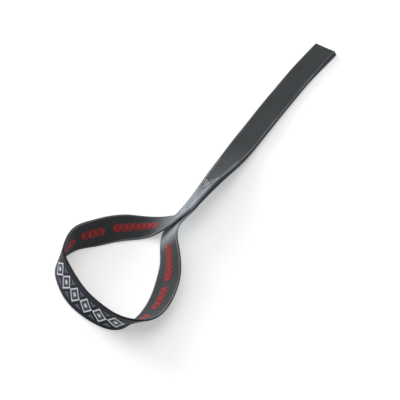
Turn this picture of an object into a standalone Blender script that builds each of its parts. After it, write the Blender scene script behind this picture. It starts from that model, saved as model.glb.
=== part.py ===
"""Weightlifting strap: one flat woven band folded in half, its legs crossed and laid together.

Metres, +Z up. The two-ply tail points along +X. The hand loop at the other end stands on its edge.
The origin is the middle of the strap's box, at floor level.
"""

from collections import namedtuple
from math import radians

import bmesh
import bpy
import numpy as np
from mathutils import Vector

WEBBING_WIDTH = 0.030
PLY_THICKNESS = 0.0025
PLY_GAP = 0.0003
TAIL_LENGTH = 0.356
LOOP_REACH = 0.155
LOOP_SPREAD = 0.124
TIP_SPLAY = 0.001

TailStation = namedtuple("TailStation", "along across")
TwistStation = namedtuple("TwistStation", "along tilt")
LoopStation = namedtuple("LoopStation", "along across lift roll")

# The tail's middle line, from the tip to the crossing.
# along is a share of TAIL_LENGTH, and across a share of WEBBING_WIDTH towards +Y.
TAIL_LINE = (
    TailStation(along=1.00, across=-0.04),
    TailStation(along=0.82, across=0.095),
    TailStation(along=0.63, across=0.11),
    TailStation(along=0.44, across=0.07),
    TailStation(along=0.28, across=0.02),
    TailStation(along=0.14, across=0.00),
    TailStation(along=0.04, across=0.02),
)

# How far both plies tilt together, in degrees, with the -Y edge raised.
# The tilt is even past either end of the table.
TAIL_TWIST = (
    TwistStation(along=0.06, tilt=47),
    TwistStation(along=0.44, tilt=5),
    TwistStation(along=0.72, tilt=0),
)

# The hand loop, from the upper ply round to the lower ply.
# along is a share of LOOP_REACH, and across a share of LOOP_SPREAD towards +Y.
# lift is the height of the band's lower edge, a share of WEBBING_WIDTH.
# roll is the band's turn about its travel, in degrees: 90 stands upright, more leans into the loop.
LOOP = (
    LoopStation(along=0.000, across=0.035, lift=0.80, roll=-45),
    LoopStation(along=-0.045, across=0.072, lift=0.59, roll=-31),
    LoopStation(along=-0.075, across=0.120, lift=0.36, roll=-18),
    LoopStation(along=-0.110, across=0.190, lift=0.15, roll=-6),
    LoopStation(along=-0.190, across=0.310, lift=0.00, roll=16),
    LoopStation(along=-0.310, across=0.455, lift=0.00, roll=38),
    LoopStation(along=-0.430, across=0.565, lift=0.00, roll=55),
    LoopStation(along=-0.530, across=0.645, lift=0.00, roll=75),
    LoopStation(along=-0.635, across=0.665, lift=0.00, roll=95),
    LoopStation(along=-0.740, across=0.640, lift=0.00, roll=110),
    LoopStation(along=-0.840, across=0.515, lift=0.00, roll=120),
    LoopStation(along=-0.915, across=0.365, lift=0.00, roll=122),
    LoopStation(along=-0.970, across=0.200, lift=0.00, roll=114),
    LoopStation(along=-1.000, across=0.015, lift=0.00, roll=103),
    LoopStation(along=-1.000, across=-0.110, lift=0.00, roll=92),
    LoopStation(along=-0.960, across=-0.235, lift=0.00, roll=68),
    LoopStation(along=-0.875, across=-0.310, lift=0.00, roll=42),
    LoopStation(along=-0.760, across=-0.330, lift=0.00, roll=29),
    LoopStation(along=-0.615, across=-0.305, lift=0.00, roll=27),
    LoopStation(along=-0.460, across=-0.240, lift=0.00, roll=30),
    LoopStation(along=-0.330, across=-0.150, lift=0.00, roll=45),
    LoopStation(along=-0.190, across=-0.030, lift=0.00, roll=52),
    LoopStation(along=-0.080, across=0.012, lift=0.00, roll=48),
)

# The plies fan apart sideways past this share of TAIL_LENGTH, by TIP_SPLAY each at the tip.
SPLAY_START = 0.75

# How finely the band is divided.
TAIL_ROWS = 60
LOOP_ROWS = 150
CELLS_ACROSS = 2

# The rows of the tail that the loop's curve runs on into, at either end.
SHARED_ROWS = 3

SLATE_GREY = (0.060, 0.066, 0.072, 1.0)


def clear_scene():
    for thing in list(bpy.data.objects):
        bpy.data.objects.remove(thing)


def ease(share):
    """A smooth step from 0 to 1."""
    share = np.clip(share, 0, 1)
    return share * share * (3 - 2 * share)


def natural_spline(knots, values, places):
    """Rows of a natural cubic spline through values at knots, read at places."""
    knots, values = np.asarray(knots), np.asarray(values)
    step = np.diff(knots)[:, None]
    slope = np.diff(values, axis=0) / step
    system = np.eye(len(knots))
    target = np.zeros(values.shape)
    for i in range(1, len(knots) - 1):
        before, after = step[i - 1, 0], step[i, 0]
        system[i, i - 1:i + 2] = before, 2 * (before + after), after
        target[i] = 6 * (slope[i] - slope[i - 1])
    bend = np.linalg.solve(system, target)
    k = np.clip(np.searchsorted(knots, places) - 1, 0, len(knots) - 2)
    b = ((places - knots[k]) / step[k, 0])[:, None]
    a = 1 - b
    curve = ((a ** 3 - a) * bend[k] + (b ** 3 - b) * bend[k + 1]) * step[k] ** 2 / 6
    return a * values[k] + b * values[k + 1] + curve


def tail_tilt(share):
    """The plies' shared tilt in radians at a share of TAIL_LENGTH."""
    tilt = TAIL_TWIST[0].tilt
    for here, there in zip(TAIL_TWIST, TAIL_TWIST[1:]):
        done = ease((share - here.along) / (there.along - here.along))
        tilt += (there.tilt - here.tilt) * done
    return radians(tilt)


def directions(points):
    """Unit vectors at each point of a line: to the left of its travel and level, and up from it."""
    travel = np.gradient(points, axis=0)
    travel /= np.linalg.norm(travel, axis=1, keepdims=True)
    left = np.cross((0, 0, 1), travel)
    left /= np.linalg.norm(left, axis=1, keepdims=True)
    return left, np.cross(travel, left)


def tail_plies():
    """Middle points of the upper and the lower ply from tip to crossing, and their tilt.

    The pair rests on the +Y edge of the lower ply.
    """
    line = TAIL_LINE[::-1]
    shares = np.linspace(line[-1].along, line[0].along, TAIL_ROWS)
    across = natural_spline([s.along for s in line], [[s.across] for s in line], shares)
    tilt = np.array([tail_tilt(share) for share in shares])
    pair = np.zeros((TAIL_ROWS, 3))
    pair[:, 0] = shares * TAIL_LENGTH
    pair[:, 1] = across[:, 0] * WEBBING_WIDTH
    pair[:, 2] = WEBBING_WIDTH / 2 * np.sin(tilt) + (PLY_THICKNESS + PLY_GAP / 2) * np.cos(tilt)

    left, up = directions(pair)
    sine, cosine = np.sin(tilt)[:, None], np.cos(tilt)[:, None]
    half_step = (up * cosine - left * sine) * (PLY_THICKNESS + PLY_GAP) / 2
    fan = ease((shares - SPLAY_START) / (1 - SPLAY_START))[:, None] * TIP_SPLAY
    sideways = (left * cosine + up * sine) * fan
    return pair + half_step - sideways, pair - half_step + sideways, tilt


def edge_rows(middle, roll):
    """Rows of x, y, the lower edge's height and the roll, from a leg's middle points."""
    low = middle[:, 2] - WEBBING_WIDTH / 2 * np.sin(roll)
    return np.column_stack([middle[:, :2], low, roll])


def middle_points(rows):
    """A leg's middle points, from its rows."""
    height = rows[:, 2] + WEBBING_WIDTH / 2 * np.sin(rows[:, 3])
    return np.column_stack([rows[:, :2], height])


def loop_rows():
    """The loop's stations as rows, with the lower edge's middle where its thickness rests."""
    rows = []
    for station in LOOP:
        roll = radians(station.roll)
        low = station.lift * WEBBING_WIDTH + PLY_THICKNESS / 2 * abs(np.cos(roll))
        rows.append((station.along * LOOP_REACH, station.across * LOOP_SPREAD, low, roll))
    return np.array(rows)


def band_rows():
    """Rows of the whole band: out along the upper ply, round the loop, and back along the lower ply."""
    upper, lower, tilt = tail_plies()
    outward = edge_rows(upper, -tilt)
    homeward = edge_rows(lower, tilt)[::-1]
    knots = np.vstack([outward[-SHARED_ROWS:], loop_rows(), homeward[:SHARED_ROWS]])
    steps = np.linalg.norm(np.diff(middle_points(knots), axis=0), axis=1)
    length = np.concatenate([[0], np.cumsum(steps)])
    places = np.linspace(length[SHARED_ROWS - 1], length[-SHARED_ROWS], LOOP_ROWS)
    loop = natural_spline(length, knots, places)[1:-1]
    floor = PLY_THICKNESS / 2 * np.abs(np.cos(loop[:, 3]))
    loop[:, 2] = np.maximum(loop[:, 2], floor)
    return np.vstack([outward, loop, homeward])


def webbing_material():
    material = bpy.data.materials.new("webbing")
    material.use_nodes = True
    surface = material.node_tree.nodes["Principled BSDF"]
    surface.inputs["Base Color"].default_value = SLATE_GREY
    surface.inputs["Roughness"].default_value = 0.85
    surface.inputs["Metallic"].default_value = 0.0
    return material


def webbing_band(collection):
    """The band: a flat grid laid along its rows, straight across, and thickened to one ply."""
    rows = band_rows()
    middle, roll = middle_points(rows), rows[:, 3][:, None]
    left, up = directions(middle)
    across = up * np.sin(roll) - left * np.cos(roll)

    shape = bmesh.new()
    cells_along = len(rows) - 1
    bmesh.ops.create_grid(shape, x_segments=cells_along, y_segments=CELLS_ACROSS, size=0.5)
    for corner in shape.verts:
        row = round((corner.co.x + 0.5) * cells_along)
        corner.co = middle[row] + across[row] * corner.co.y * WEBBING_WIDTH
    mesh = bpy.data.meshes.new("webbing_band")
    shape.to_mesh(mesh)
    shape.free()
    mesh.materials.append(webbing_material())
    mesh.shade_smooth()

    band = bpy.data.objects.new("webbing_band", mesh)
    collection.objects.link(band)
    thickness = band.modifiers.new("ply", "SOLIDIFY")
    thickness.thickness = PLY_THICKNESS
    thickness.offset = 0
    return band


def centre_over_origin(thing):
    """Moves an object so that the bottom centre of its finished box is the origin."""
    bpy.context.view_layer.update()
    finished = thing.evaluated_get(bpy.context.evaluated_depsgraph_get())
    corners = [Vector(corner) for corner in finished.bound_box]
    low = Vector([min(corner[i] for corner in corners) for i in range(3)])
    high = Vector([max(corner[i] for corner in corners) for i in range(3)])
    thing.location = (-(low.x + high.x) / 2, -(low.y + high.y) / 2, -low.z)


def main():
    clear_scene()
    collection = bpy.data.collections.new("weightlifting_strap")
    bpy.context.scene.collection.children.link(collection)
    centre_over_origin(webbing_band(collection))


main()
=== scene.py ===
"""Looks of the weightlifting strap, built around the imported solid.

The webbing is made again as a fine band on the same stations as the solid. Its stitching and its woven
figures are threads laid on it. Metres, +Z up, in the solid's frame.
"""

from collections import namedtuple
from math import ceil, cos, floor, pi, radians, sin, sqrt

import bpy
import numpy as np
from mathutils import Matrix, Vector


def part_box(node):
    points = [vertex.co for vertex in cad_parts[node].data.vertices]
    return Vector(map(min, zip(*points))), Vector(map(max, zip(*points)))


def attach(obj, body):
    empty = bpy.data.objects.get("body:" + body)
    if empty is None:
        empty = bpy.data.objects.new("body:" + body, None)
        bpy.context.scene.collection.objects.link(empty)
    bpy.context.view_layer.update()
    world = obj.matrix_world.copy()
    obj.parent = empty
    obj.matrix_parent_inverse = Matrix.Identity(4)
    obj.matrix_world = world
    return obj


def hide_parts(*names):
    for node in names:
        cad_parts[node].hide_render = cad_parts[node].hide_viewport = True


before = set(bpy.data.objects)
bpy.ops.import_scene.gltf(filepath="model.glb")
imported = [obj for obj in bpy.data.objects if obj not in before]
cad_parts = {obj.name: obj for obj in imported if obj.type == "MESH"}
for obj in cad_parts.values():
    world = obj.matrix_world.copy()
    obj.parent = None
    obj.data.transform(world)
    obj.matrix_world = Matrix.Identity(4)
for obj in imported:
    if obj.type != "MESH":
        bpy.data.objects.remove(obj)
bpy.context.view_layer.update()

NODE = "webbing_band"
MM = 0.001

# Sizes and stations of the solid, which the fine band follows.
WEBBING_WIDTH = 0.030
PLY_THICKNESS = 0.0025
PLY_GAP = 0.0003
TAIL_LENGTH = 0.356
LOOP_REACH = 0.155
LOOP_SPREAD = 0.124
TIP_SPLAY = 0.001
SPLAY_START = 0.75
TAIL_ROWS = 60
LOOP_ROWS = 150
SHARED_ROWS = 3

TailStation = namedtuple("TailStation", "along across")
TwistStation = namedtuple("TwistStation", "along tilt")
LoopStation = namedtuple("LoopStation", "along across lift roll")

TAIL_LINE = (
    TailStation(along=1.00, across=-0.04),
    TailStation(along=0.82, across=0.095),
    TailStation(along=0.63, across=0.11),
    TailStation(along=0.44, across=0.07),
    TailStation(along=0.28, across=0.02),
    TailStation(along=0.14, across=0.00),
    TailStation(along=0.04, across=0.02),
)
TAIL_TWIST = (
    TwistStation(along=0.06, tilt=47),
    TwistStation(along=0.44, tilt=5),
    TwistStation(along=0.72, tilt=0),
)
LOOP = (
    LoopStation(along=0.000, across=0.035, lift=0.80, roll=-45),
    LoopStation(along=-0.045, across=0.072, lift=0.59, roll=-31),
    LoopStation(along=-0.075, across=0.120, lift=0.36, roll=-18),
    LoopStation(along=-0.110, across=0.190, lift=0.15, roll=-6),
    LoopStation(along=-0.190, across=0.310, lift=0.00, roll=16),
    LoopStation(along=-0.310, across=0.455, lift=0.00, roll=38),
    LoopStation(along=-0.430, across=0.565, lift=0.00, roll=55),
    LoopStation(along=-0.530, across=0.645, lift=0.00, roll=75),
    LoopStation(along=-0.635, across=0.665, lift=0.00, roll=95),
    LoopStation(along=-0.740, across=0.640, lift=0.00, roll=110),
    LoopStation(along=-0.840, across=0.515, lift=0.00, roll=120),
    LoopStation(along=-0.915, across=0.365, lift=0.00, roll=122),
    LoopStation(along=-0.970, across=0.200, lift=0.00, roll=114),
    LoopStation(along=-1.000, across=0.015, lift=0.00, roll=103),
    LoopStation(along=-1.000, across=-0.110, lift=0.00, roll=92),
    LoopStation(along=-0.960, across=-0.235, lift=0.00, roll=68),
    LoopStation(along=-0.875, across=-0.310, lift=0.00, roll=42),
    LoopStation(along=-0.760, across=-0.330, lift=0.00, roll=29),
    LoopStation(along=-0.615, across=-0.305, lift=0.00, roll=27),
    LoopStation(along=-0.460, across=-0.240, lift=0.00, roll=30),
    LoopStation(along=-0.330, across=-0.150, lift=0.00, roll=45),
    LoopStation(along=-0.190, across=-0.030, lift=0.00, roll=52),
    LoopStation(along=-0.080, across=0.012, lift=0.00, roll=48),
)

# The camera looks at a floor point placed from the crossing, in metres along and across the tail.
VIEW_ALONG = 0.0461
VIEW_ACROSS = 0.0025
VIEW_ELEVATION = 47
VIEW_DISTANCE = 1.2755
TAIL_TURN = 59
LENS_MM = 101.4
SENSOR_MM = 36.0


def ease(share):
    """A smooth step from 0 to 1."""
    share = np.clip(share, 0, 1)
    return share * share * (3 - 2 * share)


def natural_spline(knots, values, places):
    """Rows of a natural cubic spline through values at knots, read at places."""
    knots, values = np.asarray(knots), np.asarray(values)
    step = np.diff(knots)[:, None]
    slope = np.diff(values, axis=0) / step
    system = np.eye(len(knots))
    target = np.zeros(values.shape)
    for i in range(1, len(knots) - 1):
        before, after = step[i - 1, 0], step[i, 0]
        system[i, i - 1:i + 2] = before, 2 * (before + after), after
        target[i] = 6 * (slope[i] - slope[i - 1])
    bend = np.linalg.solve(system, target)
    k = np.clip(np.searchsorted(knots, places) - 1, 0, len(knots) - 2)
    b = ((places - knots[k]) / step[k, 0])[:, None]
    a = 1 - b
    curve = ((a ** 3 - a) * bend[k] + (b ** 3 - b) * bend[k + 1]) * step[k] ** 2 / 6
    return a * values[k] + b * values[k + 1] + curve


def tail_tilt(share):
    """The plies' shared tilt in radians at a share of TAIL_LENGTH."""
    tilt = TAIL_TWIST[0].tilt
    for here, there in zip(TAIL_TWIST, TAIL_TWIST[1:]):
        done = ease((share - here.along) / (there.along - here.along))
        tilt += (there.tilt - here.tilt) * done
    return radians(tilt)


def directions(points):
    """Unit vectors at each point of a line: to the left of its travel and level, and up from it."""
    travel = np.gradient(points, axis=0)
    travel /= np.linalg.norm(travel, axis=1, keepdims=True)
    left = np.cross((0, 0, 1), travel)
    left /= np.linalg.norm(left, axis=1, keepdims=True)
    return left, np.cross(travel, left)


def tail_plies():
    """Middle points of the upper and the lower ply from tip to crossing, and their tilt."""
    line = TAIL_LINE[::-1]
    shares = np.linspace(line[-1].along, line[0].along, TAIL_ROWS)
    across = natural_spline([s.along for s in line], [[s.across] for s in line], shares)
    tilt = np.array([tail_tilt(share) for share in shares])
    pair = np.zeros((TAIL_ROWS, 3))
    pair[:, 0] = shares * TAIL_LENGTH
    pair[:, 1] = across[:, 0] * WEBBING_WIDTH
    pair[:, 2] = WEBBING_WIDTH / 2 * np.sin(tilt) + (PLY_THICKNESS + PLY_GAP / 2) * np.cos(tilt)
    left, up = directions(pair)
    sine, cosine = np.sin(tilt)[:, None], np.cos(tilt)[:, None]
    half_step = (up * cosine - left * sine) * (PLY_THICKNESS + PLY_GAP) / 2
    fan = ease((shares - SPLAY_START) / (1 - SPLAY_START))[:, None] * TIP_SPLAY
    sideways = (left * cosine + up * sine) * fan
    return pair + half_step - sideways, pair - half_step + sideways, tilt


def edge_rows(middle, roll):
    """Rows of x, y, the lower edge's height and the roll, from a leg's middle points."""
    low = middle[:, 2] - WEBBING_WIDTH / 2 * np.sin(roll)
    return np.column_stack([middle[:, :2], low, roll])


def middle_points(rows):
    """A leg's middle points, from its rows."""
    height = rows[:, 2] + WEBBING_WIDTH / 2 * np.sin(rows[:, 3])
    return np.column_stack([rows[:, :2], height])


def loop_rows():
    """The loop's stations as rows, with the lower edge's middle where its thickness rests."""
    rows = []
    for station in LOOP:
        roll = radians(station.roll)
        low = station.lift * WEBBING_WIDTH + PLY_THICKNESS / 2 * abs(cos(roll))
        rows.append((station.along * LOOP_REACH, station.across * LOOP_SPREAD, low, roll))
    return np.array(rows)


def band_rows():
    """Rows of the whole band: out along the upper ply, round the loop, and back along the lower ply."""
    upper, lower, tilt = tail_plies()
    outward = edge_rows(upper, -tilt)
    homeward = edge_rows(lower, tilt)[::-1]
    knots = np.vstack([outward[-SHARED_ROWS:], loop_rows(), homeward[:SHARED_ROWS]])
    steps = np.linalg.norm(np.diff(middle_points(knots), axis=0), axis=1)
    length = np.concatenate([[0], np.cumsum(steps)])
    places = np.linspace(length[SHARED_ROWS - 1], length[-SHARED_ROWS], LOOP_ROWS)
    loop = natural_spline(length, knots, places)[1:-1]
    floor_height = PLY_THICKNESS / 2 * np.abs(np.cos(loop[:, 3]))
    loop[:, 2] = np.maximum(loop[:, 2], floor_height)
    return np.vstack([outward, loop, homeward])


# Where the band runs. columns hold its middle line, its direction across and its inner face's normal.
Course = namedtuple("Course", "length places columns crossing")
COURSE_STEP = 1 * MM


def band_course():
    """The band's middle line and directions, at even places along its length."""
    rows = band_rows()
    steps = np.linalg.norm(np.diff(middle_points(rows), axis=0), axis=1)
    length = np.concatenate([[0], np.cumsum(steps)])
    places = np.linspace(0, length[-1], round(length[-1] / COURSE_STEP))
    rows = natural_spline(length, rows, places)
    middle, roll = middle_points(rows), rows[:, 3:4]
    left, up = directions(middle)
    across = up * np.sin(roll) - left * np.cos(roll)
    normal = up * np.cos(roll) + left * np.sin(roll)

    corners = np.concatenate([
        middle + a * across * WEBBING_WIDTH / 2 + b * normal * PLY_THICKNESS / 2
        for a in (-1, 1) for b in (-1, 1)
    ])
    low, high = (np.array(corner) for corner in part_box(NODE))
    shift = (low + high) / 2 - (corners.min(axis=0) + corners.max(axis=0)) / 2
    shift[2] = 0
    return Course(length[-1], places, np.hstack([middle + shift, across, normal]), shift)


COURSE = band_course()
HALF_WIDTH = WEBBING_WIDTH / 2
HALF_PLY = PLY_THICKNESS / 2


def on_band(along, across, above):
    """World points at places along the band, across from its middle and above its middle surface."""
    along = np.clip(along, 0, COURSE.length)
    at = [np.interp(along, COURSE.places, COURSE.columns[:, i]) for i in range(9)]
    at = np.stack(at, axis=-1)
    return at[..., 0:3] + at[..., 3:6] * across[..., None] + at[..., 6:9] * above[..., None]


# The stitching: its reach along the tail from the tip, the rows along the edges, and the boxes between.
SEWN_FROM = 284 * MM
SEWN_TO = 358 * MM
EDGE_ROW_FROM = 246 * MM
STITCH_ROWS = (11.7 * MM, 10.2 * MM)
STITCH_BOXES = 3
STITCH_LENGTH = 2.6 * MM
STITCH_GAP = 0.5 * MM
CROSSED_ROW_STEPS = (0, 3 * MM, 6 * MM)

# Low relief of the faces.
SELVEDGE_GROOVE = 2.3 * MM
GROOVE_DEPTH = 0.14 * MM
GROOVE_WIDTH = 0.35 * MM
PUCKER_DEPTH = 0.16 * MM
PUCKER_WIDTH = 0.8 * MM
EDGE_WAVE = 0.35 * MM
EDGE_WAVE_RATE = 88
EDGE_WAVE_OFFSET = 2.1


def from_tip(along):
    """The distance from the nearer end of the band, which is even in both plies of the tail."""
    return np.minimum(along, COURSE.length - along)


def dip(distance, width):
    """A soft trough: 1 at no distance, fading over a width."""
    return np.exp(-(distance / width) ** 2)


def relief(along, across):
    """How far a face stands above its plane: the selvedge grooves and the pull of the stitching."""
    inward = HALF_WIDTH - np.abs(across)
    groove = GROOVE_DEPTH * dip(inward - SELVEDGE_GROOVE, GROOVE_WIDTH)
    tip = from_tip(along)
    sewn = (tip > EDGE_ROW_FROM) & (tip < SEWN_TO)
    row = dip(np.abs(across) - np.mean(STITCH_ROWS), PUCKER_WIDTH) * sewn
    ends = sum(dip(tip - place, PUCKER_WIDTH) for place in stitch_box_ends())
    return -groove - PUCKER_DEPTH * np.maximum(row, np.minimum(ends, 1))


def stitch_box_ends():
    return np.linspace(SEWN_FROM, SEWN_TO, STITCH_BOXES + 1)


def sway(along, across):
    """The slow wave of the worn edges, the same in both plies of the tail."""
    side = np.where(across > 0, EDGE_WAVE_OFFSET, 0)
    wave = (1 + np.sin(from_tip(along) * EDGE_WAVE_RATE + side)) / 2
    return EDGE_WAVE * wave * (across / HALF_WIDTH) ** 2


def face_height(along, across, side):
    """The height of a face over the middle surface; side is 1 on the inner face and -1 on the outer."""
    return side * (HALF_PLY + relief(along, across)) + sway(along, across)


# Fine webbing: a ring of points round its section, at each row along the band.
EDGE_RADIUS = 0.9 * MM
EDGE_TURNS = 4
FACE_STEP = 1.2 * MM
SELVEDGE_STEP = 0.45 * MM
SELVEDGE_WIDTH = 3.4 * MM
ROW_STEP = 1.6 * MM
FINE_ROW_STEP = 0.8 * MM

# The cut ends: sealed, a little pinched and not quite straight.
SEAL_LENGTH = 0.9 * MM
SEAL_ROWS = 4
SEAL_PINCH = 0.5
RAGGED_DEPTH = 0.35 * MM
RAGGED_REACH = 4 * MM
RAGGED_RATES = (900, 2300)

Section = namedtuple("Section", "across above side arc girth")


def face_places():
    """Places across one face, closer together at the selvedges."""
    reach = HALF_WIDTH - EDGE_RADIUS
    inner = HALF_WIDTH - SELVEDGE_WIDTH
    middle = np.linspace(-inner, inner, round(2 * inner / FACE_STEP) + 1)
    side = np.linspace(inner, reach, round((reach - inner) / SELVEDGE_STEP) + 1)[1:]
    return np.concatenate([-side[::-1], middle, side])


def webbing_section():
    """Points round the section, from the middle of one edge over the inner face and back by the outer."""
    face = face_places()
    turn = np.linspace(0, pi / 2, EDGE_TURNS)[1:]
    bulge, drop = EDGE_RADIUS * np.sin(turn), np.cos(turn)
    flat = np.ones(len(face))
    quarter = (face[-1] + bulge, drop)
    across = np.concatenate([
        -quarter[0][::-1], face, quarter[0], quarter[0][-2::-1], face[::-1], -quarter[0][:-1],
    ])
    side = np.concatenate([drop[::-1], flat, drop, -drop[-2::-1], -flat, -drop[:-1]])
    above = side * HALF_PLY
    steps = np.hypot(np.diff(across, append=across[0]), np.diff(above, append=above[0]))
    arc = np.concatenate([[0], np.cumsum(steps)])
    return Section(across, above, side, arc, arc[-1])


SECTION = webbing_section()


def row_places():
    """Places of the rows along the band, closer together at its ends and where it is sewn."""
    seal = np.linspace(0, SEAL_LENGTH, SEAL_ROWS)
    places, at = list(seal[:-1]), SEAL_LENGTH
    while at < COURSE.length - SEAL_LENGTH:
        places.append(at)
        sewn = EDGE_ROW_FROM < from_tip(at) < SEWN_TO + STITCH_LENGTH
        at += FINE_ROW_STEP if sewn else ROW_STEP
    return np.concatenate([places, COURSE.length - seal[::-1]])


def mesh_object(name, points, faces, maps):
    """A smooth mesh with its UV maps, each given corner by corner."""
    mesh = bpy.data.meshes.new(name)
    mesh.from_pydata(points.reshape(-1, 3).tolist(), [], faces)
    mesh.shade_smooth()
    for title, places in maps.items():
        mesh.uv_layers.new(name=title).data.foreach_set("uv", places.ravel())
    shape = bpy.data.objects.new(name, mesh)
    bpy.context.collection.objects.link(shape)
    return shape


def tube_corners(u, v):
    """UV corners of a tube's quads, from its places along and its places round."""
    here, there = u[:-1, None], u[1:, None]
    low, high = v[None, :-1], v[None, 1:]
    shape = (len(u) - 1, len(v) - 1)
    corners = [(here, low), (here, high), (there, high), (there, low)]
    pairs = [np.stack([np.broadcast_to(a, shape), np.broadcast_to(b, shape)], axis=-1) for a, b in corners]
    return np.stack(pairs, axis=2)


def tube_faces(rows, count):
    """Quads of a tube of rows with count points each, and its two end caps."""
    row = np.arange(rows - 1)[:, None] * count
    here = np.arange(count)[None, :]
    following = (here + 1) % count
    quads = np.stack([row + here, row + following, row + following + count, row + here + count], axis=-1)
    first = np.arange(count)[::-1]
    last = np.arange(count) + (rows - 1) * count
    return quads.reshape(-1, 4), first, last


# The bake map lays the band out as strips, one above the other, with its end caps beside them.
BAKE_STRIPS = 4
BAKE_MARGIN = 0.012
STRIP_SHARE = 0.95
CAP_SPACING = 0.3


def bake_strips(rows, arc):
    """Corners of the band's quads on the bake map."""
    corners = tube_corners(rows, arc)
    middle = corners[..., 0].mean(axis=2, keepdims=True)
    strip_length = COURSE.length / BAKE_STRIPS
    strip = np.clip(np.floor(middle / strip_length), 0, BAKE_STRIPS - 1)
    u = BAKE_MARGIN + (corners[..., 0] - strip * strip_length) / strip_length * STRIP_SHARE
    round_share = BAKE_MARGIN + corners[..., 1] / SECTION.girth * (1 - 2 * BAKE_MARGIN)
    return np.stack([u, (strip + round_share) / BAKE_STRIPS], axis=-1)


def cap_corners(order, place):
    """Corners of an end cap on both maps."""
    across, above = SECTION.across[order], SECTION.above[order]
    cloth = np.column_stack([np.full(len(order), place), SECTION.arc[order]])
    u = 1 - BAKE_MARGIN - above / WEBBING_WIDTH / BAKE_STRIPS
    v = 0.5 + across / WEBBING_WIDTH / BAKE_STRIPS + (CAP_SPACING if place else 0)
    return cloth, np.column_stack([u, v])


def webbing():
    """The band as one closed tube of rows, with a cap on each cut end."""
    rows, section = row_places(), SECTION
    shape = (len(rows), len(section.across))
    along = np.broadcast_to(rows[:, None], shape)
    tip = from_tip(along)
    seal = np.sqrt(1 - np.clip(1 - tip / SEAL_LENGTH, 0, 1) ** 2)
    full = SEAL_PINCH + (1 - SEAL_PINCH) * seal
    across = section.across * (1 - (1 - full) * PLY_THICKNESS / WEBBING_WIDTH)
    slow, quick = RAGGED_RATES
    ragged = (2 + np.sin(across * slow) + np.sin(across * quick + along)) / 4
    inset = RAGGED_DEPTH * ragged * np.clip(1 - tip / RAGGED_REACH, 0, 1)
    place = along + np.where(along < COURSE.length / 2, inset, -inset)
    above = (section.above + section.side * relief(along, across)) * full + sway(along, across)

    faces, first, last = tube_faces(*shape)
    maps = {"cloth": tube_corners(rows, section.arc), "OFBake": bake_strips(rows, section.arc)}
    caps = [cap_corners(first, 0), cap_corners(last - last[0], COURSE.length)]
    for i, title in enumerate(maps):
        corners = [maps[title].reshape(-1, 2)] + [cap[i] for cap in caps]
        maps[title] = np.concatenate(corners)
    every_face = faces.tolist() + [first.tolist(), last.tolist()]
    return mesh_object("woven_webbing", on_band(place, across, above), every_face, maps)


# A thread's shape: widths and heights over its length, from one sunk end to the other.
Yarn = namedtuple("Yarn", "width height arch sink sides stations")
SEWING_YARN = Yarn(width=0.62 * MM, height=0.50 * MM, arch=0.26 * MM, sink=0.20 * MM, sides=6, stations=6)
WEFT_YARN = Yarn(width=0.62 * MM, height=0.36 * MM, arch=0.10 * MM, sink=0.08 * MM, sides=6, stations=4)
THREAD_END = 0.35
BAKE_CELL = 0.8
THREAD_SHIFT = 0.0137


def threads(name, runs, side, yarn):
    """Closed threads laid on a face of the band; runs are starts and ends, along and across."""
    runs = np.array(runs)
    start, way = runs[:, 0], runs[:, 1] - runs[:, 0]
    length = np.linalg.norm(way, axis=1)
    way = way / length[:, None]
    aside = side * np.column_stack([way[:, 1], -way[:, 0]])
    share = (1 - np.cos(np.linspace(0, pi, yarn.stations))) / 2
    full = np.maximum(np.sqrt(1 - (2 * share - 1) ** 4), THREAD_END)
    turn = np.linspace(0, 2 * pi, yarn.sides + 1)

    line = start[:, None] + way[:, None] * (length[:, None] * share)[..., None]
    out = full[:, None] * np.cos(turn[:-1]) * yarn.width / 2
    flat = line[:, :, None] + aside[:, None, None] * out[None, ..., None]
    ground = face_height(line[..., 0], line[..., 1], side)
    lift = (yarn.arch + yarn.sink) * ease(full) - yarn.sink
    rise = lift[:, None] + full[:, None] * np.sin(turn[:-1]) * yarn.height / 2
    above = ground[:, :, None] + side * rise[None]
    points = on_band(flat[..., 0], flat[..., 1], above)

    quads, first, last = tube_faces(yarn.stations, yarn.sides)
    offset = (np.arange(len(runs)) * yarn.stations * yarn.sides)[:, None]
    faces = (quads[None] + offset[..., None]).reshape(-1, 4).tolist()
    faces += np.vstack([first + offset, last + offset]).tolist()
    return mesh_object(name, points, faces, thread_maps(length, share, turn / (2 * pi)))


def thread_maps(length, share, round_share):
    """The threads' UV maps: metres along and turns round each, and a cell each to bake in."""
    grid = ceil(sqrt(len(length)))
    number = np.arange(len(length))
    column, row = number % grid, number // grid
    tube = tube_corners(share, round_share).reshape(-1, 2)
    rim = round_share[:-1]
    caps = [np.column_stack([np.full(len(rim), end), values])
            for end, values in ((0.0, rim[::-1]), (1.0, rim))]
    cloth, bake = [], []
    for part in (tube, *caps):
        u = part[None, :, 0] * length[:, None] + number[:, None] * THREAD_SHIFT
        v = np.broadcast_to(part[None, :, 1], u.shape)
        cloth.append(np.stack([u, v], axis=-1))
        cell = np.stack([np.broadcast_to(part[None, :, i], u.shape) for i in (0, 1)], axis=-1)
        corner = np.stack([column, row], axis=-1)[:, None]
        bake.append((corner + (1 - BAKE_CELL) / 2 + cell * BAKE_CELL) / grid)
    return {
        "cloth": np.concatenate([part.reshape(-1, 2) for part in cloth]),
        "OFBake": np.concatenate([part.reshape(-1, 2) for part in bake]),
    }


def stitch_line(start, end):
    """The stitches of one straight row."""
    start, end = np.array(start), np.array(end)
    length = np.linalg.norm(end - start)
    count = max(1, round((length + STITCH_GAP) / (STITCH_LENGTH + STITCH_GAP)))
    pitch = (length + STITCH_GAP) / count
    way = (end - start) / length
    return [(start + way * pitch * i, start + way * (pitch * (i + 1) - STITCH_GAP)) for i in range(count)]


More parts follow.
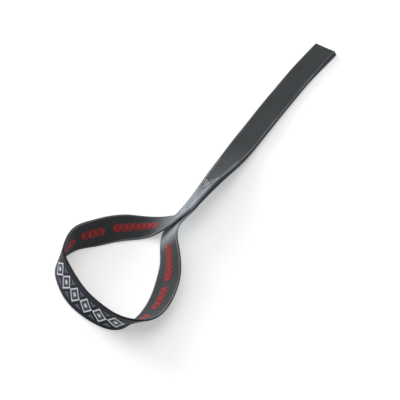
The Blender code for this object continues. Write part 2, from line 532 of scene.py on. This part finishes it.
def seam():
    """Stitches of one face: rows along both edges, and boxes with crossed rows between them."""
    outer, inner = STITCH_ROWS
    stitches = []
    for side in (-1, 1):
        stitches += stitch_line((EDGE_ROW_FROM, side * outer), (SEWN_TO, side * outer))
        stitches += stitch_line((SEWN_FROM, side * inner), (SEWN_TO, side * inner))
    ends = stitch_box_ends()
    for place in ends[1:]:
        stitches += stitch_line((place, -inner), (place, inner))
    for low, high in zip(ends, ends[1:]):
        for side in (-1, 1):
            for step in CROSSED_ROW_STEPS:
                start, end = low + step, high - CROSSED_ROW_STEPS[-1] + step
                stitches += stitch_line((start, -side * inner), (end, side * inner))
    return stitches


def mirrored_along(runs):
    """The same runs on the band's other end."""
    return [[(COURSE.length - along, across) for along, across in run] for run in runs]


# Woven figures. An outline is a convex polygon, in metres along the band and across it.
Figure = namedtuple("Figure", "outline hole")
WEFT_PITCH = 0.52 * MM
SHORTEST_FLOAT = 0.5 * MM


def lozenge(middle, half_length, half_height):
    return [(middle - half_length, 0), (middle, half_height),
            (middle + half_length, 0), (middle, -half_height)]


def triangle(middle, half_base, base, apex):
    return [(middle - half_base, base), (middle + half_base, base), (middle, apex)]


def shrunk(outline, share):
    """An outline drawn in towards its middle."""
    middle = np.mean(outline, axis=0)
    return [tuple(middle + (np.array(corner) - middle) * share) for corner in outline]


def cut(outline, place):
    """The lowest and highest point of an outline at a place along the band, or nothing."""
    found = []
    for (x0, y0), (x1, y1) in zip(outline, outline[1:] + outline[:1]):
        if (x0 - place) * (x1 - place) < 0:
            found.append(y0 + (y1 - y0) * (place - x0) / (x1 - x0))
    return (min(found), max(found)) if found else None


def floats(figures):
    """The weft floats that fill some figures, as starts and ends."""
    runs = []
    for figure in figures:
        reach = [corner[0] for corner in figure.outline]
        for row in range(floor(min(reach) / WEFT_PITCH), ceil(max(reach) / WEFT_PITCH)):
            place = (row + 0.5) * WEFT_PITCH
            whole = cut(figure.outline, place)
            gap = cut(figure.hole, place) if figure.hole else None
            if whole is None:
                continue
            parts = [whole] if gap is None else [(whole[0], gap[0]), (gap[1], whole[1])]
            runs += [((place, low), (place, high)) for low, high in parts if high - low > SHORTEST_FLOAT]
    return runs


# Inner face: groups of tall red lozenges, with a pair of small ones in each space between two.
Group = namedtuple("Group", "start stop")
RED_GROUPS = (
    Group(start=380 * MM, stop=432 * MM),
    Group(start=441 * MM, stop=469 * MM),
    Group(start=476 * MM, stop=533 * MM),
    Group(start=549 * MM, stop=592 * MM),
    Group(start=606 * MM, stop=655 * MM),
    Group(start=663 * MM, stop=696 * MM),
    Group(start=703 * MM, stop=752 * MM),
)
RED_REACH = 5.4 * MM
RED_HALF_LENGTH = 3.0 * MM
RED_PITCH = 6.4 * MM
SMALL_ACROSS = 3.5 * MM
SMALL_HALF_LENGTH = 1.9 * MM
SMALL_HALF_HEIGHT = 1.9 * MM


def red_figures():
    figures = []
    for group in RED_GROUPS:
        room = group.stop - group.start - 2 * RED_HALF_LENGTH
        count = round(room / RED_PITCH)
        middles = np.linspace(group.start + RED_HALF_LENGTH, group.stop - RED_HALF_LENGTH, count + 1)
        for middle in middles:
            figures.append(Figure(lozenge(middle, RED_HALF_LENGTH, RED_REACH), None))
        for middle in (middles[:-1] + middles[1:]) / 2:
            small = lozenge(middle, SMALL_HALF_LENGTH, SMALL_HALF_HEIGHT)
            for side in (-1, 1):
                figures.append(Figure([(x, y + side * SMALL_ACROSS) for x, y in small], None))
    return figures


# Outer face: a lattice of white lozenges with blue-grey hearts, and blue-grey triangles between them.
LATTICE_MIDDLE = 568.5 * MM
LATTICE_COUNT = 6
LOZENGE_HALF_LENGTH = 9.6 * MM
LOZENGE_HALF_HEIGHT = 9.4 * MM
LOZENGE_HOLE = 0.73
HEART = 0.56
HEART_HOLE = 0.30
FILLET_HALF_BASE = 5.0 * MM
FILLET_DEPTH = 5.0 * MM


def lattice_middles():
    reach = (LATTICE_COUNT - 1) * LOZENGE_HALF_LENGTH
    return np.linspace(LATTICE_MIDDLE - reach, LATTICE_MIDDLE + reach, LATTICE_COUNT)


def white_figures():
    figures = []
    for middle in lattice_middles():
        outline = lozenge(middle, LOZENGE_HALF_LENGTH, LOZENGE_HALF_HEIGHT)
        figures.append(Figure(outline, shrunk(outline, LOZENGE_HOLE)))
        figures.append(Figure(shrunk(outline, HEART_HOLE), None))
    return figures


def blue_figures():
    figures = []
    middles = lattice_middles()
    for middle in middles:
        outline = lozenge(middle, LOZENGE_HALF_LENGTH, LOZENGE_HALF_HEIGHT)
        figures.append(Figure(shrunk(outline, HEART), shrunk(outline, HEART_HOLE)))
    for joint in middles[:-1] + LOZENGE_HALF_LENGTH:
        for side in (-1, 1):
            base = side * LOZENGE_HALF_HEIGHT
            apex = base - side * FILLET_DEPTH
            figures.append(Figure(triangle(joint, FILLET_HALF_BASE, base, apex), None))
    return figures


class Shader:
    """One material, with short calls that add and join its nodes."""

    def __init__(self, name):
        self.material = bpy.data.materials.new(name)
        self.material.use_nodes = True
        self.tree = self.material.node_tree
        self.surface = self.tree.nodes["Principled BSDF"]

    def put(self, socket, value):
        if isinstance(value, bpy.types.NodeSocket):
            self.tree.links.new(value, socket)
        else:
            socket.default_value = value

    def node(self, kind, **settings):
        made = self.tree.nodes.new(kind)
        for key, value in settings.items():
            setattr(made, key, value)
        return made

    def maths(self, operation, *values):
        made = self.node("ShaderNodeMath", operation=operation)
        for socket, value in zip(made.inputs, values):
            self.put(socket, value)
        return made.outputs[0]

    def step(self, value, low, high):
        """A smooth rise from 0 at low to 1 at high."""
        made = self.node("ShaderNodeMapRange", interpolation_type="SMOOTHSTEP")
        self.put(made.inputs["Value"], value)
        made.inputs["From Min"].default_value = low
        made.inputs["From Max"].default_value = high
        return made.outputs["Result"]

    def between(self, value, low, high, soft):
        """1 between low and high, with soft ends."""
        rise = self.step(value, low - soft, low + soft)
        fall = self.step(value, high + soft, high - soft)
        return self.maths("MULTIPLY", rise, fall)

    def blend(self, share, first, second):
        """A colour between two."""
        made = self.node("ShaderNodeMix", data_type="RGBA")
        self.put(made.inputs[0], share)
        for socket, value in zip(made.inputs[6:8], (first, second)):
            self.put(socket, (*value, 1) if isinstance(value, tuple) else value)
        return made.outputs[2]

    def cloth(self):
        """The places of the cloth map, as a vector and as its two numbers."""
        places = self.node("ShaderNodeUVMap", uv_map="cloth").outputs[0]
        split = self.node("ShaderNodeSeparateXYZ")
        self.put(split.inputs[0], places)
        return places, split.outputs[0], split.outputs[1]

    def noise(self, places, stretch, detail=2.0):
        """Soft noise, with cells of 1 / stretch along and across."""
        scaled = self.node("ShaderNodeVectorMath", operation="MULTIPLY")
        self.put(scaled.inputs[0], places)
        scaled.inputs[1].default_value = (*stretch, 1)
        made = self.node("ShaderNodeTexNoise")
        self.put(made.inputs["Vector"], scaled.outputs[0])
        made.inputs["Scale"].default_value = 1
        made.inputs["Detail"].default_value = detail
        return made.outputs[0]

    def finish(self, colour, roughness, height, depth, sheen, gloss):
        """Joins the nodes to the surface.

        sheen is its weight, roughness and tint, and gloss is the specular level.
        """
        bump = self.node("ShaderNodeBump")
        bump.inputs["Distance"].default_value = depth
        bump.inputs["Strength"].default_value = 1
        self.put(bump.inputs["Height"], height)
        self.put(self.surface.inputs["Normal"], bump.outputs[0])
        self.put(self.surface.inputs["Base Color"], colour)
        self.put(self.surface.inputs["Roughness"], roughness)
        weight, spread, tint = sheen
        self.surface.inputs["Sheen Weight"].default_value = weight
        self.surface.inputs["Sheen Roughness"].default_value = spread
        self.surface.inputs["Sheen Tint"].default_value = (*tint, 1)
        self.surface.inputs["Specular IOR Level"].default_value = gloss
        return self.material


# The weave: cords along the band, each crossed by picks that are set off from cord to cord.
CORD_PITCH = 1.0 * MM
PICK_PITCH = 1.5 * MM
PICK_OFFSET = 0.5
WEAVE_DEPTH = 0.16 * MM
DOME_POWER = 0.6
KNUCKLE_SHARE = 0.6
FIBRE_HEIGHT = 0.25
FIBRE_ROUGHNESS = 0.25
BASE_ROUGHNESS = 0.6
TWILL_COLUMN = 5 * MM
TWILL_PITCH = 3.2 * MM
TWILL_CONTRAST = 0.22
# The weave runs from the valley colour to the crest colour: the darker valleys are painted shade in the
# weave's hollows, and the twill and random patches vary it as the yarn's own colour. The ground's two
# colours are shaded in the same way.
VALLEY_COLOUR = (0.014, 0.015, 0.016)
CREST_COLOUR = (0.078, 0.085, 0.090)
# A pale colour for rubbed selvedge yarn, also used for a painted highlight there and for the painted sheen
# where the band is sewn and where its legs part.
PALE_WEAR_AND_SHEEN_COLOUR = (0.34, 0.375, 0.41)
GROUND_VALLEY = (0.003, 0.004, 0.006)
GROUND_CREST = (0.010, 0.012, 0.017)
WEBBING_SHEEN = (0.35, 0.35, (0.85, 0.92, 1.0))
WEBBING_GLOSS = 0.2

# Cells of soft noise in each metre, along the band and across it.
FIBRE_CELLS = (1800, 9000)
PATCH_CELLS = (22, 60)
GRAIN_CELLS = (420, 700)

# Stretches along the band, as start, stop and softness: a painted sheen where it is sewn and where its
# legs part, which stands in for light on the tilted fabric there, and a dark ground under the outer face's
# figures.
SEWN_SHEEN_STRETCH = (308 * MM, 368 * MM, 24 * MM)
LEGS_PART_SHEEN_STRETCH = (756 * MM, 800 * MM, 12 * MM)
GROUND = (500 * MM, 640 * MM, 8 * MM)
SEWN_SHEEN_STRENGTH = 0.72
LEGS_PART_SHEEN_STRENGTH = 0.95

# The pale line inside each selvedge, partly rubbed yarn and partly a painted highlight of the rounded edge
# catching the light, measured from the edge in the same way.
SELVEDGE_WEAR_AND_HIGHLIGHT = (1.0 * MM, 2.6 * MM, 0.5 * MM)


def webbing_material():
    shader = Shader("woven_webbing")
    places, along, around = shader.cloth()
    half = SECTION.girth / 2
    outer = shader.maths("GREATER_THAN", around, half)
    across = shader.maths("SUBTRACT", shader.maths("MODULO", around, half), half / 2)
    inward = shader.maths("SUBTRACT", half / 2, shader.maths("ABSOLUTE", across))

    cord = shader.maths("DIVIDE", across, CORD_PITCH)
    offset = shader.maths("MULTIPLY", shader.maths("FLOOR", cord), PICK_OFFSET)
    pick = shader.maths("ADD", shader.maths("DIVIDE", along, PICK_PITCH), offset)
    dome, knuckle = [
        shader.maths("ABSOLUTE", shader.maths("SINE", shader.maths("MULTIPLY", value, pi)))
        for value in (cord, pick)
    ]
    dome = shader.maths("POWER", dome, DOME_POWER)
    knuckle = shader.maths("MULTIPLY_ADD", knuckle, KNUCKLE_SHARE, 1 - KNUCKLE_SHARE)
    crest = shader.maths("MULTIPLY", dome, knuckle)
    fibre = shader.noise(places, FIBRE_CELLS)
    height = shader.maths("MULTIPLY_ADD", fibre, FIBRE_HEIGHT, crest)

    patch = shader.noise(places, PATCH_CELLS, detail=4)
    # A pale line inside each selvedge, in patches: partly rubbed yarn, partly a painted highlight of the
    # edge.
    patchiness = shader.step(patch, 0.35, 0.75)
    selvedge_line = shader.between(inward, *SELVEDGE_WEAR_AND_HIGHLIGHT)
    wear_and_highlight = shader.maths("MULTIPLY", selvedge_line, shader.maths("MULTIPLY_ADD", patchiness, 0.5, 0.25))
    # Painted sheen, standing in for light on the tilted fabric: paler where the band is sewn and where its
    # legs part.
    sewn = shader.maths("MULTIPLY", shader.between(along, *SEWN_SHEEN_STRETCH), SEWN_SHEEN_STRENGTH)
    legs_part_sheen = shader.maths("MULTIPLY", shader.between(along, *LEGS_PART_SHEEN_STRETCH), LEGS_PART_SHEEN_STRENGTH)
    grain = shader.maths("MULTIPLY_ADD", shader.noise(places, GRAIN_CELLS, detail=3), 0.9, 0.55)
    painted_sheen = shader.maths("MULTIPLY", shader.maths("MAXIMUM", sewn, legs_part_sheen), grain)
    ground = shader.maths("MULTIPLY", outer, shader.between(along, *GROUND))

    twill = shader.maths("ADD", along, shader.maths("PINGPONG", across, TWILL_COLUMN))
    twill = shader.maths("SINE", shader.maths("MULTIPLY", twill, 2 * pi / TWILL_PITCH))
    shade = shader.maths("MULTIPLY_ADD", patch, 0.8, 0.6)
    # Painted shade: the colour darkens into the valleys of the weave, as the height does, under the twill
    # and the random patches.
    tone = shader.maths("MULTIPLY", crest, shader.maths("MULTIPLY_ADD", twill, TWILL_CONTRAST, shade))
    colour = shader.blend(tone, VALLEY_COLOUR, CREST_COLOUR)
    # Pale on the selvedge line, partly rubbed yarn and partly painted highlight, and painted sheen on the
    # sewn stretch and where the legs part.
    colour = shader.blend(shader.maths("MAXIMUM", wear_and_highlight, painted_sheen), colour, PALE_WEAR_AND_SHEEN_COLOUR)
    colour = shader.blend(ground, colour, shader.blend(tone, GROUND_VALLEY, GROUND_CREST))
    roughness = shader.maths("MULTIPLY_ADD", fibre, FIBRE_ROUGHNESS, BASE_ROUGHNESS)
    return shader.finish(colour, roughness, height, WEAVE_DEPTH, WEBBING_SHEEN, WEBBING_GLOSS)


# The yarns. dark is the colour between the plies of a thread, a painted shade in the hollows there, and
# light the colour on them.
YarnLook = namedtuple("YarnLook", "name dark light roughness sheen gloss")
SEWING_LOOK = YarnLook("sewing_yarn", (0.40, 0.44, 0.50), (0.72, 0.77, 0.84), 0.45, 0.3, 0.4)
RED_LOOK = YarnLook("red_yarn", (0.28, 0.012, 0.014), (0.55, 0.035, 0.035), 0.5, 0.2, 0.3)
WHITE_LOOK = YarnLook("white_yarn", (0.56, 0.61, 0.69), (0.88, 0.92, 0.97), 0.4, 0.3, 0.4)
BLUE_GREY_LOOK = YarnLook("blue_grey_yarn", (0.05, 0.065, 0.10), (0.12, 0.15, 0.21), 0.45, 0.3, 0.4)
YARN_TWIST = 0.8 * MM
YARN_DEPTH = 0.05 * MM


def yarn_material(look):
    """Twisted yarn: fine plies winding round each thread, painted darker between them as shade, and a
    little uneven in colour.
    """
    shader = Shader(look.name)
    places, along, around = shader.cloth()
    winding = shader.maths("ADD", shader.maths("DIVIDE", along, YARN_TWIST), around)
    ply = shader.maths("ABSOLUTE", shader.maths("SINE", shader.maths("MULTIPLY", winding, 2 * pi)))
    fibre = shader.noise(places, (5000, 8))
    height = shader.maths("MULTIPLY_ADD", fibre, 0.3, ply)
    patch = shader.noise(places, (90, 0.5))
    tone = shader.maths("MULTIPLY_ADD", ply, 0.5, patch)
    # Painted shade: the colour darkens between the plies, as the height does, with random patches on top.
    colour = shader.blend(shader.step(tone, 0.2, 1.0), look.dark, look.light)
    roughness = shader.maths("MULTIPLY_ADD", fibre, 0.2, look.roughness)
    sheen = (look.sheen, 0.4, (1, 1, 1))
    return shader.finish(colour, roughness, height, YARN_DEPTH, sheen, look.gloss)


def floor_material():
    """Pale board that glows a little, as on a light table, which keeps the shadows soft and pale."""
    shader = Shader("floor")
    shader.surface.inputs["Base Color"].default_value = (*FLOOR_COLOUR, 1)
    shader.surface.inputs["Roughness"].default_value = 0.9
    shader.surface.inputs["Emission Color"].default_value = (1, 1, 1, 1)
    shader.surface.inputs["Emission Strength"].default_value = FLOOR_GLOW
    return shader.material


def camera():
    """The camera at the photograph's angle, looking at a floor point beside the crossing."""
    target = Vector((COURSE.crossing[0] + VIEW_ALONG, COURSE.crossing[1] + VIEW_ACROSS, 0))
    heading = radians(90 - TAIL_TURN)
    rise = radians(VIEW_ELEVATION)
    back = Vector((-cos(heading) * cos(rise), -sin(heading) * cos(rise), sin(rise)))
    lens = bpy.data.cameras.new("camera")
    lens.lens = LENS_MM
    lens.sensor_width = SENSOR_MM
    eye = bpy.data.objects.new("camera", lens)
    eye.location = target + back * VIEW_DISTANCE
    eye.rotation_euler = back.to_track_quat("Z", "Y").to_euler()
    bpy.context.collection.objects.link(eye)
    bpy.context.scene.camera = eye
    return target, heading


# Soft lamps; turn is the direction from the camera's heading, in degrees to the left.
Lamp = namedtuple("Lamp", "name turn rise spread strength")
LAMPS = (
    Lamp(name="softbox", turn=35, rise=62, spread=90, strength=1.25),
    Lamp(name="key", turn=42, rise=15, spread=30, strength=1.9),
)
WORLD_STRENGTH = 0.22
FLOOR_COLOUR = (0.92, 0.92, 0.92)
FLOOR_GLOW = 0.40
FLOOR_SIZE = 8


def soft_sun(lamp, heading):
    direction, height = heading + radians(lamp.turn), radians(lamp.rise)
    way = Vector((cos(direction) * cos(height), sin(direction) * cos(height), sin(height)))
    light = bpy.data.lights.new(lamp.name, "SUN")
    light.angle = radians(lamp.spread)
    light.energy = lamp.strength
    holder = bpy.data.objects.new(lamp.name, light)
    holder.location = way
    holder.rotation_euler = way.to_track_quat("Z", "Y").to_euler()
    bpy.context.collection.objects.link(holder)


def studio(target, heading):
    world = bpy.data.worlds.new("studio")
    bpy.context.scene.world = world
    world.use_nodes = True
    backdrop = world.node_tree.nodes["Background"]
    backdrop.inputs["Color"].default_value = (1, 1, 1, 1)
    backdrop.inputs["Strength"].default_value = WORLD_STRENGTH
    for lamp in LAMPS:
        soft_sun(lamp, heading)
    bpy.context.scene.view_settings.view_transform = "Standard"

    bpy.ops.mesh.primitive_plane_add(size=FLOOR_SIZE, location=(target.x, target.y, 0))
    ground = bpy.context.object
    ground.name = "floor"
    ground.data.materials.append(floor_material())


def dress(piece, material):
    piece.data.materials.append(material)
    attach(piece, "root")
    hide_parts(NODE)


def main():
    target, heading = camera()
    studio(target, heading)
    dress(webbing(), webbing_material())

    sewing = yarn_material(SEWING_LOOK)
    dress(threads("seam_upper_face", seam(), 1, SEWING_YARN), sewing)
    dress(threads("seam_lower_face", mirrored_along(seam()), -1, SEWING_YARN), sewing)

    red = threads("red_lozenges", floats(red_figures()), 1, WEFT_YARN)
    white = threads("white_lattice", floats(white_figures()), -1, WEFT_YARN)
    blue = threads("blue_grey_hearts", floats(blue_figures()), -1, WEFT_YARN)
    dress(red, yarn_material(RED_LOOK))
    dress(white, yarn_material(WHITE_LOOK))
    dress(blue, yarn_material(BLUE_GREY_LOOK))


main()
